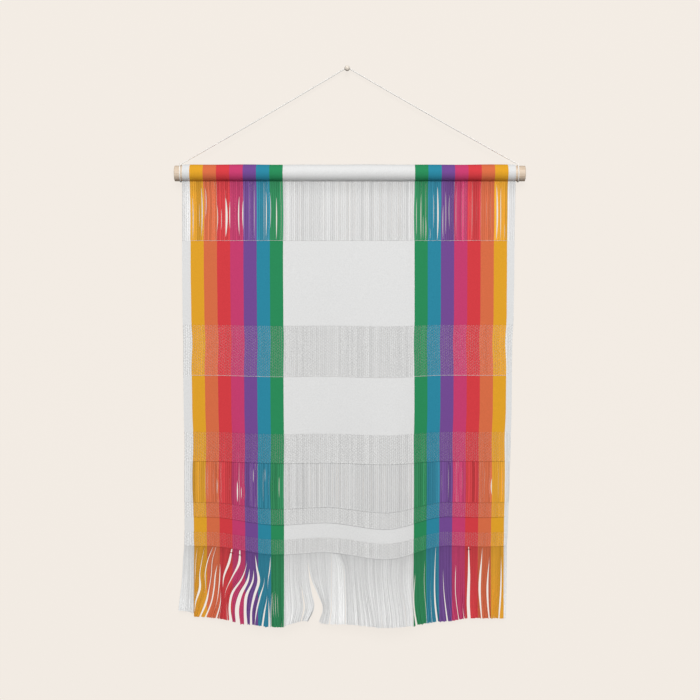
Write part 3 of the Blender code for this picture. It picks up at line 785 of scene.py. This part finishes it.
warp_across = across_at(np.arange(WARPS) + 0.5)
warp_place = np.zeros((WARPS, 1, 1, 2))
warp_place[:, 0, 0, 0] = stripe_place(warp_across)
uneven = np.random.default_rng(11)
warp_tone_and_painted_light = uneven.normal(1.0, TONE_SPREAD, WARPS)
is_margin = (warp_across < MARGIN) | (warp_across > 1 - MARGIN)
is_middle = abs(warp_across - 0.5) < MIDDLE.width / 2
is_white = is_middle | is_margin
# Painted shade on the white middle's threads and painted light on the white margins' threads.
warp_tone_and_painted_light *= np.where(is_middle, MIDDLE_PAINTED_SHADE, np.where(is_margin, MARGIN_PAINTED_LIGHT, DYED_TONE))


def coarse_threads(number):
    """The warp and the weft of one coarse band, as rings."""
    top = BAND_FEET[number]
    height = BANDS[number].drop
    wefts = round(height / WEFT_PITCH)
    stations = np.arange(2 * wefts + 1)
    drops = top + height * stations / (2 * wefts)
    weft_drops = drops[1::2]
    crossing = np.where(stations % 2 == 1, 1 - 2 * ((stations // 2) % 2), 0)
    threads = 1 - 2 * (np.arange(WARPS) % 2)
    out = COARSE_WARP_OUT * threads[:, None] * crossing[None]
    drops[0] -= COARSE_TUCK
    drops[-1] += COARSE_TUCK
    warp = panel_point(warp_across[:, None], drops[None], out)
    edges = cloth_x(across_at(np.arange(WARPS + 1))[:, None], drops[None])
    wide = (edges[1:] - edges[:-1]) / 2 * COARSE_WARP_FILL
    columns = np.arange(2 * WARPS + 1)
    side = np.where(columns % 2 == 1, 1 - 2 * ((columns // 2) % 2), 0)
    rows = 1 - 2 * (np.arange(wefts) % 2)
    out = -COARSE_WEFT_OUT * rows[:, None] * side[None]
    weft = panel_point(across_at(columns / 2)[None], weft_drops[:, None], out)
    return (
        yarn_rings(warp, wide, COARSE_WARP_DEEP, FLAT_YARN),
        yarn_rings(weft, COARSE_WEFT_TALL, COARSE_WEFT_DEEP, FLAT_YARN, axis=2),
    )


# The white mixed into the bare yarn's colour stands for pale fibre and also for painted sheen.
yarn_cotton = striped_cotton("yarn_cotton", fuzz_and_sheen=0.032, tone_from="tone")
upper_weft_cotton = striped_cotton("upper_weft_cotton", fuzz_and_sheen=0.34)
lower_weft_cotton = striped_cotton("lower_weft_cotton", fuzz_and_sheen=0.19)
coarse_bands = [number for number, band in enumerate(BANDS) if band.weave == "coarse"]
for name, numbers, weft_cotton, dye_light in (
    ("coarse_upper", coarse_bands[:1], upper_weft_cotton, 1.06),
    ("coarse_lower", coarse_bands[1:], lower_weft_cotton, 1.0),
):
    coarse_tone = warp_tone_and_painted_light * np.where(is_white, 1.0, dye_light)
    weft_parts = []
    for number in numbers:
        warp, weft = coarse_threads(number)
        weft_parts.append(weft)
        warps = add_tubes(f"coarse_warp_{number}", warp, warp_place, coarse_tone[:, None, None])
        finish_piece(warps, yarn_cotton, "cloth")
    wefts = add_tubes(f"{name}_weft", np.concatenate(weft_parts), crossing_places(rib_columns))
    finish_piece(wefts, weft_cotton, "cloth")


# The open warp: bare warp threads side by side, which stand apart here and there in lens-shaped
# slits. top and foot are shares of the band's height.
Slit = namedtuple("Slit", "x width top foot")
UPPER_SLITS = (
    Slit(-0.1877, 0.0011, 0.25, 0.98),
    Slit(-0.1800, 0.0007, 0.30, 0.83),
    Slit(-0.1767, 0.0016, 0.08, 0.91),
    Slit(-0.1718, 0.0011, 0.08, 0.62),
    Slit(-0.1577, 0.0007, 0.38, 0.83),
    Slit(-0.1531, 0.0007, 0.44, 0.83),
    Slit(-0.1469, 0.0033, 0.26, 0.93),
    Slit(-0.1431, 0.0015, 0.30, 0.81),
    Slit(-0.1322, 0.0021, 0.23, 0.90),
    Slit(-0.1273, 0.0015, 0.30, 0.79),
    Slit(-0.0985, 0.0012, 0.15, 0.95),
    Slit(-0.0931, 0.0009, 0.15, 0.83),
    Slit(-0.0860, 0.0018, 0.25, 0.98),
    Slit(0.0843, 0.0010, 0.20, 0.98),
    Slit(0.0898, 0.0010, 0.20, 1.00),
    Slit(0.0925, 0.0007, 0.52, 1.00),
    Slit(0.0958, 0.0007, 0.61, 1.00),
    Slit(0.1013, 0.0007, 0.76, 1.00),
    Slit(0.1055, 0.0009, 0.15, 0.83),
    Slit(0.1105, 0.0021, 0.08, 1.00),
    Slit(0.1165, 0.0009, 0.38, 1.00),
    Slit(0.1202, 0.0010, 0.09, 0.95),
    Slit(0.1240, 0.0010, 0.15, 0.86),
    Slit(0.1827, 0.0024, 0.04, 1.00),
    Slit(0.1871, 0.0011, 0.08, 0.98),
    Slit(0.1919, 0.0007, 0.68, 1.00),
)
LOWER_SLITS = (
    Slit(-0.1587, 0.0007, 0.42, 0.79),
    Slit(-0.1337, 0.0021, 0.44, 0.93),
    Slit(-0.1289, 0.0012, 0.53, 0.86),
    Slit(-0.1142, 0.0007, 0.14, 0.44),
    Slit(-0.0996, 0.0007, 0.09, 0.44),
    Slit(-0.0826, 0.0007, 0.28, 0.77),
    Slit(0.1756, 0.0018, 0.40, 0.81),
)
OPEN_STATIONS = 25
OPEN_THREAD_DEEP = 0.00055
OPEN_TUCK = 0.0004  # how far the threads run on under the band above and below
SLIT_FILL = 0.72  # how far a slit stands open, as a share of its full width
SLIT_ROUNDNESS = 0.7
SLIT_REACH = 5  # the number of threads beside a slit that move aside
SLEEVE_TUCK = 0.0012
SLEEVE_SET_BACK = 0.0005  # how far behind the sleeve's foot the threads leave it
SLEEVE_LEAN = 0.018  # the drop in which the threads fall back from the sleeve's foot
SLEEVE_CROWDING = 1.5  # over 1, the stations lie closer at the sleeve's foot
NUDGE = 1e-6
THREAD_WANDER = 0.00010
THREAD_DEPTH = 0.00030
FILL_SPREAD = 0.06
FILL_LEAST = 0.88
FILL_MOST = 1.08
DYED_TONE_SPREAD = 0.085
# The last number of each band is painted light: it lightens the upper band's threads, and it darkens
# the lower band's threads as painted shade.
OPEN_WARPS = (("open_warp_upper", 0, UPPER_SLITS, 1.03), ("open_warp_lower", 5, LOWER_SLITS, 0.96))


def slit_borders(slits, drop):
    """Each slit with the number of the thread beside it, and None with threads that stay put."""
    edges = cloth_x(across_at(np.arange(WARPS + 1)), drop)
    borders = {}
    for slit in slits:
        border = int(np.argmin(abs(edges - slit.x)))
        while border in borders:
            border += 1
        borders[border] = slit
    numbers = sorted(borders)
    for before, after in zip([0, *numbers], [*numbers, WARPS]):
        if after - before > 2 * SLIT_REACH:
            borders[before + SLIT_REACH] = None
            borders[after - SLIT_REACH] = None
    return sorted(borders.items())


def open_threads(number, slits):
    """The places of a band's bare warp threads, and the room that each has."""
    top = BAND_FEET[number]
    height = BANDS[number].drop
    from_sleeve = JUNCTION_OFFSET + SLEEVE_FOOT - SLEEVE_SET_BACK if number == 0 else 0.0
    start = SLEEVE_TUCK if number == 0 else OPEN_TUCK
    shares = np.linspace(0.0, 1.0, OPEN_STATIONS) ** (SLEEVE_CROWDING if number == 0 else 1.0)
    shares = between(-start / height, 1 + OPEN_TUCK / height, shares)
    paths = np.empty((WARPS, OPEN_STATIONS, 3))
    rooms = np.empty((WARPS, OPEN_STATIONS))
    borders = slit_borders(slits, top + height / 2)
    edges = across_at(np.arange(WARPS + 1))
    swing = np.sin(math.pi * np.clip(shares, 0.0, 1.0))[None]
    wander = uneven.normal(0.0, THREAD_WANDER, (WARPS, 1)) * swing
    depth = uneven.normal(0.0, THREAD_DEPTH, (WARPS, 1)) * swing
    for station, share in enumerate(shares):
        drop = top + height * share
        marks = [0.0]
        pushes = [0.0]
        for border, slit in borders:
            if slit is None:
                marks.append(edges[border])
                pushes.append(0.0)
                continue
            inside = np.clip((share - slit.top) / (slit.foot - slit.top), 0.0, 1.0)
            opened = math.sin(math.pi * inside) ** SLIT_ROUNDNESS if 0 < inside < 1 else 0.0
            push = (slit.x - cloth_x(edges[border], drop)) * opened
            half = slit.width / 2 * opened * SLIT_FILL
            marks += [edges[border] - NUDGE, edges[border] + NUDGE]
            pushes += [push - half, push + half]
        marks.append(1.0)
        pushes.append(0.0)
        x = cloth_x(edges, drop)
        lows = x[:-1] + np.interp(edges[:-1] + 2 * NUDGE, marks, pushes)
        highs = x[1:] + np.interp(edges[1:] - 2 * NUDGE, marks, pushes)
        rooms[:, station] = highs - lows
        middle = (lows + highs) / 2 + wander[:, station]
        lean = from_sleeve * np.clip((SLEEVE_LEAN - drop) / (SLEEVE_LEAN + SLEEVE_TUCK), 0.0, 1.0) ** 2
        paths[:, station] = panel_at(middle, drop, depth[:, station] + lean)
    return paths, rooms


open_spread = np.where(is_white, TONE_SPREAD, DYED_TONE_SPREAD)
for name, number, slits, light in OPEN_WARPS:
    paths, rooms = open_threads(number, slits)
    fill = np.clip(uneven.normal(1.0, FILL_SPREAD, (WARPS, 1)), FILL_LEAST, FILL_MOST)
    rings = yarn_rings(paths, rooms / 2 * fill, OPEN_THREAD_DEEP, ROUND_YARN)
    tone = (warp_tone_and_painted_light * light * uneven.normal(1.0, open_spread))[:, None, None]
    threads = add_tubes(name, rings, warp_place, tone)
    finish_piece(threads, yarn_cotton, "cloth")


# The single weft threads at the bands' borders: pale ones that lie on the warp below the upper
# open band and the first coarse band, and tight ones that sink in, whose tone is darkened to paint
# the shade of their groove, so that they show as dark lines.
Border = namedtuple("Border", "drop radius out tone")
BORDERS = (
    Border(BAND_FEET[1], 0.00013, 0.00060, None),
    Border(BAND_FEET[3], 0.00016, 0.00060, None),
    Border(BAND_FEET[5], 0.00045, 0.00042, 0.80),
    Border(BAND_FEET[6], 0.00040, 0.00040, 0.84),
    Border(BAND_FEET[7], 0.00040, 0.00040, 0.80),
    Border(BAND_FEET[9], 0.00045, 0.00042, 0.80),
)
BORDER_RIPPLE = 0.00010  # how far it rises and sinks over each warp thread

pale_cotton = fibre_material("pale_cotton", (0.80, 0.79, 0.775), relief_strength=0.2)
border_across = across_at(np.arange(2 * EDGE.threads, 2 * (WARPS - EDGE.threads) + 1) / 2)
border_place = crossing_places(border_across)
ripple = BORDER_RIPPLE * np.cos(np.arange(len(border_across)) * math.pi)
for number, border in enumerate(BORDERS):
    path = panel_point(border_across, border.drop, border.out + ripple)[None]
    rings = yarn_rings(path, border.radius, border.radius, ROUND_YARN, axis=2)
    if border.tone is None:
        thread = add_tubes(f"border_thread_{number}", rings)
        finish_piece(thread, pale_cotton, "cloth")
    else:
        thread = add_tubes(f"border_thread_{number}", rings, border_place, border.tone)
        finish_piece(thread, yarn_cotton, "cloth")


# The fringe: the warp ends below the last weft, each untwisted into two or three finer strands.
# They hang in locks that lean and curl. Each parting between them has its x and its width at six
# even steps from the hem to the tips, in millimetres, and the shade of the lock at its right.
Parting = namedtuple("Parting", "places widths shade", defaults=[(0, 0, 0, 0, 0, 0), 1.0])
PARTINGS = (
    Parting((-198.6, -200.1, -200.9, -202.0, -204.0, -205.7)),
    Parting((-186.8, -186.8, -186.8, -186.8, -186.8, -186.8)),
    Parting((-182.7, -184.6, -185.4, -186.0, -186.6, -186.7), (0.4, 0.7, 0.6, 0.2, 0, 0)),
    Parting((-173.7, -177.3, -180.0, -179.9, -185.0, -186.6), (0.4, 0.8, 1.2, 2.9, 1.6, 0.2)),
    Parting((-163.3, -170.0, -173.3, -173.1, -177.3, -182.2), (0.5, 1.2, 1.2, 0.5, 0, 0)),
    Parting((-159.7, -164.5, -165.9, -168.6, -172.4, -179.5), (0.4, 0.9, 0.9, 1.2, 2.7, 2.1)),
    Parting((-157.2, -157.8, -160.9, -162.6, -166.0, -172.9), (0, 0, 1.5, 1.7, 1.6, 1.8)),
    Parting((-154.8, -155.0, -155.4, -156.7, -159.3, -164.5), (0, 0, 1.1, 1.1, 0.6, 0.2)),
    Parting((-152.4, -153.0, -153.6, -154.1, -155.0, -159.7), (0, 0, 0, 0.2, 1.1, 1.9)),
    Parting((-140.2, -143.8, -150.1, -151.5, -152.1, -153.0), (1.5, 3.2, 2.1, 0, 0, 0)),
    Parting((-130.5, -131.7, -140.2, -147.9, -149.1, -149.1), (1.5, 3.2, 1.7, 0.4, 0, 0)),
    Parting((-121.9, -122.4, -128.3, -139.6, -142.9, -141.5), (0, 0.5, 1.8, 2.6, 2.8, 4.4)),
    Parting((-117.7, -118.3, -120.7, -129.6, -133.6, -132.5), (0, 0, 2.7, 4.3, 5.2, 6.0)),
    Parting((-113.4, -113.4, -114.5, -122.1, -123.8, -123.0), (0, 0, 2.2, 3.8, 3.6, 4.2)),
    Parting((-112.0, -109.8, -107.3, -112.5, -116.2, -116.5), (0, 1.9, 3.4, 3.2, 2.3, 2.6)),
    Parting((-102.5, -102.1, -100.6, -105.5, -109.7, -111.8), (0, 0, 0.4, 1.9, 1.8, 0.4)),
    Parting((-97.6, -97.6, -97.2, -97.2, -100.2, -102.7), (0, 0, 0, 0.4, 1.9, 2.4)),
    Parting((-92.7, -93.8, -96.1, -95.3, -94.8, -94.4), (0, 1.2, 0.7, 0.2, 1.3, 2.2)),
    Parting((-91.5, -91.5, -91.8, -91.9, -92.4, -92.5), (0, 0, 0, 0.4, 0.7, 0.9)),
    Parting((-90.3, -90.3, -90.1, -90.1, -89.3, -88.4), (0, 0, 0, 0.6, 0.6, 0.1)),
    Parting((-87.9, -87.9, -87.6, -87.1, -86.7, -85.2), (0, 0, 0, 0.6, 0.6, 0.1)),
    Parting((-84.8, -84.8, -84.7, -84.5, -83.7, -81.4), (0, 0, 0, 0.5, 0.5, 0.1)),
    Parting((-76.4, -76.5, -76.7, -76.8, -76.8, -76.8), (0, 0, 0, 0, 0.2, 0.2)),
    Parting((-62.1, -61.8, -61.3, -58.7, -57.4, -61.8), (0, 0, 0, 0, 0.2, 0.5)),
    Parting((-56.2, -56.2, -56.0, -54.0, -52.0, -55.9), (0, 0, 0, 1.5, 2.4, 1.5)),
    Parting((-48.4, -47.0, -44.3, -39.2, -34.8, -40.8), (0, 1.0, 3.3, 7.5, 10.5, 12.8)),
    Parting((-19.2, -19.0, -19.2, -19.2, -19.2, -21.5), (0.4, 0.7, 0.7, 0.7, 1.0, 1.8), 1.12),
    Parting((-11.2, -4.6, -3.2, -2.4, -2.2, -2.2), (0, 0.6, 0.7, 0.7, 1.0, 1.0)),
    Parting((8.3, 8.3, 9.5, 10.7, 11.9, 13.1), (0, 0, 0.2, 0.5, 0.5, 0.5)),
    Parting((21.7, 21.7, 22.9, 25.3, 29.0, 31.4), (0, 0, 0, 0.2, 0.4, 0.5)),
    Parting((37.5, 37.5, 38.7, 39.9, 41.1, 42.4), (0, 0, 0, 0.2, 0.4, 0.5)),
    Parting((53.3, 52.1, 53.3, 55.7, 58.2, 59.4), (0, 0, 0, 0.2, 0.5, 0.5)),
    Parting((65.5, 64.9, 65.5, 67.9, 70.3, 71.6), (0, 0, 0.2, 0.4, 0.5, 0.6)),
    Parting((74.0, 72.8, 73.3, 75.2, 78.3, 79.6), (0, 0, 0.1, 0.4, 0.6, 0.7)),
    Parting((82.5, 82.5, 81.9, 80.8, 81.5, 84.1), (0, 0.1, 1.0, 1.2, 1.7, 2.4)),
    Parting((94.4, 94.2, 93.6, 94.2, 95.7, 96.9), (0, 0.5, 0.6, 0.6, 0.6, 0.5)),
    Parting((101.0, 101.0, 101.1, 101.4, 102.2, 103.4), (0, 0.2, 0.4, 0.4, 0.5, 0.5)),
    Parting((108.1, 107.2, 106.7, 106.7, 107.8, 109.9), (0.6, 1.1, 1.5, 1.8, 2.1, 2.3)),
    Parting((117.0, 117.2, 117.2, 118.0, 119.9, 122.3), (0, 0.2, 0.6, 1.1, 1.5, 1.9)),
    Parting((133.4, 132.9, 132.2, 132.0, 133.6, 136.3), (0, 0.2, 1.0, 1.1, 1.1, 1.2)),
    Parting((139.7, 139.7, 139.7, 139.7, 140.6, 142.5), (0, 0, 0, 0, 0.5, 1.0)),
    Parting((148.2, 148.4, 148.5, 148.0, 147.7, 148.6), (1.2, 2.2, 3.2, 3.7, 3.9, 3.9)),
    Parting((164.9, 163.8, 162.3, 161.6, 162.5, 163.9), (0.4, 1.5, 2.7, 2.9, 2.2, 1.6)),
    Parting((173.5, 173.1, 171.7, 171.0, 171.6, 173.2), (0, 0.7, 1.9, 2.7, 2.3, 1.7)),
    Parting((187.8, 187.8, 187.8, 187.4, 186.4, 185.1), (0, 0.6, 1.5, 1.9, 2.1, 1.5)),
    Parting((191.1, 191.1, 190.8, 190.8, 190.3, 189.9), shade=1.1),
    Parting((194.5, 194.5, 194.2, 194.0, 193.7, 193.5)),
)

# The x and the z of the line that the strands' tips follow.
TIPS = np.array(
    (
        (-0.2057, -0.6608), (-0.1950, -0.6623), (-0.1871, -0.6641), (-0.1866, -0.6687),
        (-0.1731, -0.6691), (-0.1609, -0.6700), (-0.1432, -0.6718), (-0.1408, -0.6736),
        (-0.1359, -0.6737), (-0.1305, -0.6759), (-0.1122, -0.6763), (-0.1037, -0.6779),
        (-0.0940, -0.6788), (-0.0769, -0.6791), (-0.0745, -0.6767), (-0.0623, -0.6736),
        (-0.0538, -0.6718), (-0.0355, -0.6721), (-0.0319, -0.6748), (-0.0209, -0.6759),
        (0.0131, -0.6762), (0.0375, -0.6784), (0.0776, -0.6774), (0.0825, -0.6779),
        (0.0849, -0.6764), (0.1093, -0.6746), (0.1251, -0.6742), (0.1336, -0.6728),
        (0.1421, -0.6708), (0.1494, -0.6702), (0.1945, -0.6708),
    )
)
STRAND_ROOM = 0.00098
STRAND_STATIONS = 25
STRAND_HALF = 0.00085  # a strand's largest half width
STRAND_LEAST = 0.00022  # and its least
STRAND_FILL = 0.7  # a strand's half width as a share of its room
STRAND_DEEP = 0.9  # a strand's depth as a share of its width
STRAND_WANDER = 0.00010
STRAND_WAVES = (3.0, 7.0)  # the least and the greatest angle of the wander at a tip
STRAND_SWAY = 0.0006
STRAND_CURL = 0.0012
ROOT_TUCK = 0.0006  # how far a strand runs up into the hem
TIP_SPREAD = 0.0002
STRAND_TONE = 0.98
STRAND_TONE_SPREAD = 0.06
WHITE_STRAND_TONE = 1.09
DYED_ROOTS = (0.0770, 0.1880)  # how far from the middle the dyed strands start and end
HEM_PLACES = (0, MARGIN, 1 - MARGIN, 1)


def smoothly(values, share):
    """The smooth curve that passes values at even steps from 0 to 1."""
    values = np.array([2 * values[0] - values[1], *values, 2 * values[-1] - values[-2]])
    place = share * (len(values) - 3)
    step = np.minimum(place.astype(int), len(values) - 4)
    part = place - step
    a, b, c, d = (values[step + number] for number in range(4))
    return b + part / 2 * (c - a + part * (2 * a - 5 * b + 4 * c - d + part * (3 * (b - c) + d - a)))


shares = np.linspace(0.0, 1.0, STRAND_STATIONS)
end_taper = np.interp(shares, (0, 0.97, 1.0), (1.0, 1.0, 0.85))
# Painted shade along each strand: darkest just below the hem, which shades it, and paler towards the
# tip.
hem_painted_shade = np.interp(shares, (0, 0.15, 0.5, 1.0), (0.80, 0.88, 0.97, 1.07))
paths = []
wides = []
shades = []
for left, right in zip(PARTINGS, PARTINGS[1:]):
    low = (smoothly(left.places, shares) + smoothly(left.widths, shares) / 2) / 1000
    high = (smoothly(right.places, shares) - smoothly(right.widths, shares) / 2) / 1000
    count = max(2, round(np.max(high - low) / STRAND_ROOM))
    for number in range(count):
        root_x = between(low[0], high[0], (number + 0.5) / count)
        room = np.maximum(high - low, 0.0) / count
        wander = uneven.normal(0.0, STRAND_WANDER) * np.sin(shares * uneven.uniform(*STRAND_WAVES))
        x = low + room * (number + 0.5) + wander * shares
        start = panel_at(np.array(root_x), np.array(PANEL_DROP), 0.0)
        tip_z = np.interp(x[-1], TIPS[:, 0], TIPS[:, 1]) + uneven.uniform(-TIP_SPREAD, TIP_SPREAD)
        z = between(start[2] + ROOT_TUCK, tip_z, shares)
        sway = uneven.normal(0.0, STRAND_SWAY) * np.sin(shares * math.pi / 2)
        y = start[1] + sway + uneven.normal(0.0, STRAND_CURL) * shares**2
        paths.append(np.stack([x, y, z], axis=-1))
        wides.append(np.clip(room * STRAND_FILL, STRAND_LEAST, STRAND_HALF) * end_taper)
        is_dyed = DYED_ROOTS[0] < abs(root_x) < DYED_ROOTS[1]
        shades.append(left.shade * (1.0 if is_dyed else WHITE_STRAND_TONE))
paths = np.array(paths)
wides = np.array(wides)
rings = yarn_rings(paths, wides, wides * STRAND_DEEP, ROUND_YARN)
hem_lines = [line_at(name, PANEL_DROP) for name in Line._fields[1:]]
place = np.zeros((*rings.shape[:3], 2))
place[..., 0] = stripe_place(np.interp(rings[..., 0], hem_lines, HEM_PLACES))
tone = uneven.normal(STRAND_TONE, STRAND_TONE_SPREAD, len(paths)) * shades
tone = tone[:, None, None] * hem_painted_shade[None, :, None]
strands = add_tubes("fringe_strands", rings, place, tone)
finish_piece(strands, yarn_cotton, "fringe")


# Three short ends of the last weft, left loose, lie across the widest partings of the fringe just
# below the hem. Each shows as a dark bar.
WEFT_ENDS = ((-0.1408, 0.0050), (-0.1305, 0.0058), (0.1481, 0.0030))  # x, and drop below the hem
WEFT_END_REACH = 0.0024
WEFT_END_STATIONS = 7
WEFT_END_OUT = 0.0016
WEFT_END_TALL = 0.00050
WEFT_END_DEEP = 0.0003
WEFT_END_TONE = 0.6

for number, (x, drop) in enumerate(WEFT_ENDS):
    points = x + np.linspace(-WEFT_END_REACH, WEFT_END_REACH, WEFT_END_STATIONS)
    path = panel_at(points, PANEL_DROP, WEFT_END_OUT)
    path[:, 2] -= drop
    rings = yarn_rings(path[None], WEFT_END_TALL, WEFT_END_DEEP, ROUND_YARN, axis=2)
    place = crossing_places(np.interp(points, hem_lines, HEM_PLACES))
    end = add_tubes(f"weft_end_{number}", rings, place, WEFT_END_TONE)
    finish_piece(end, yarn_cotton, "fringe")
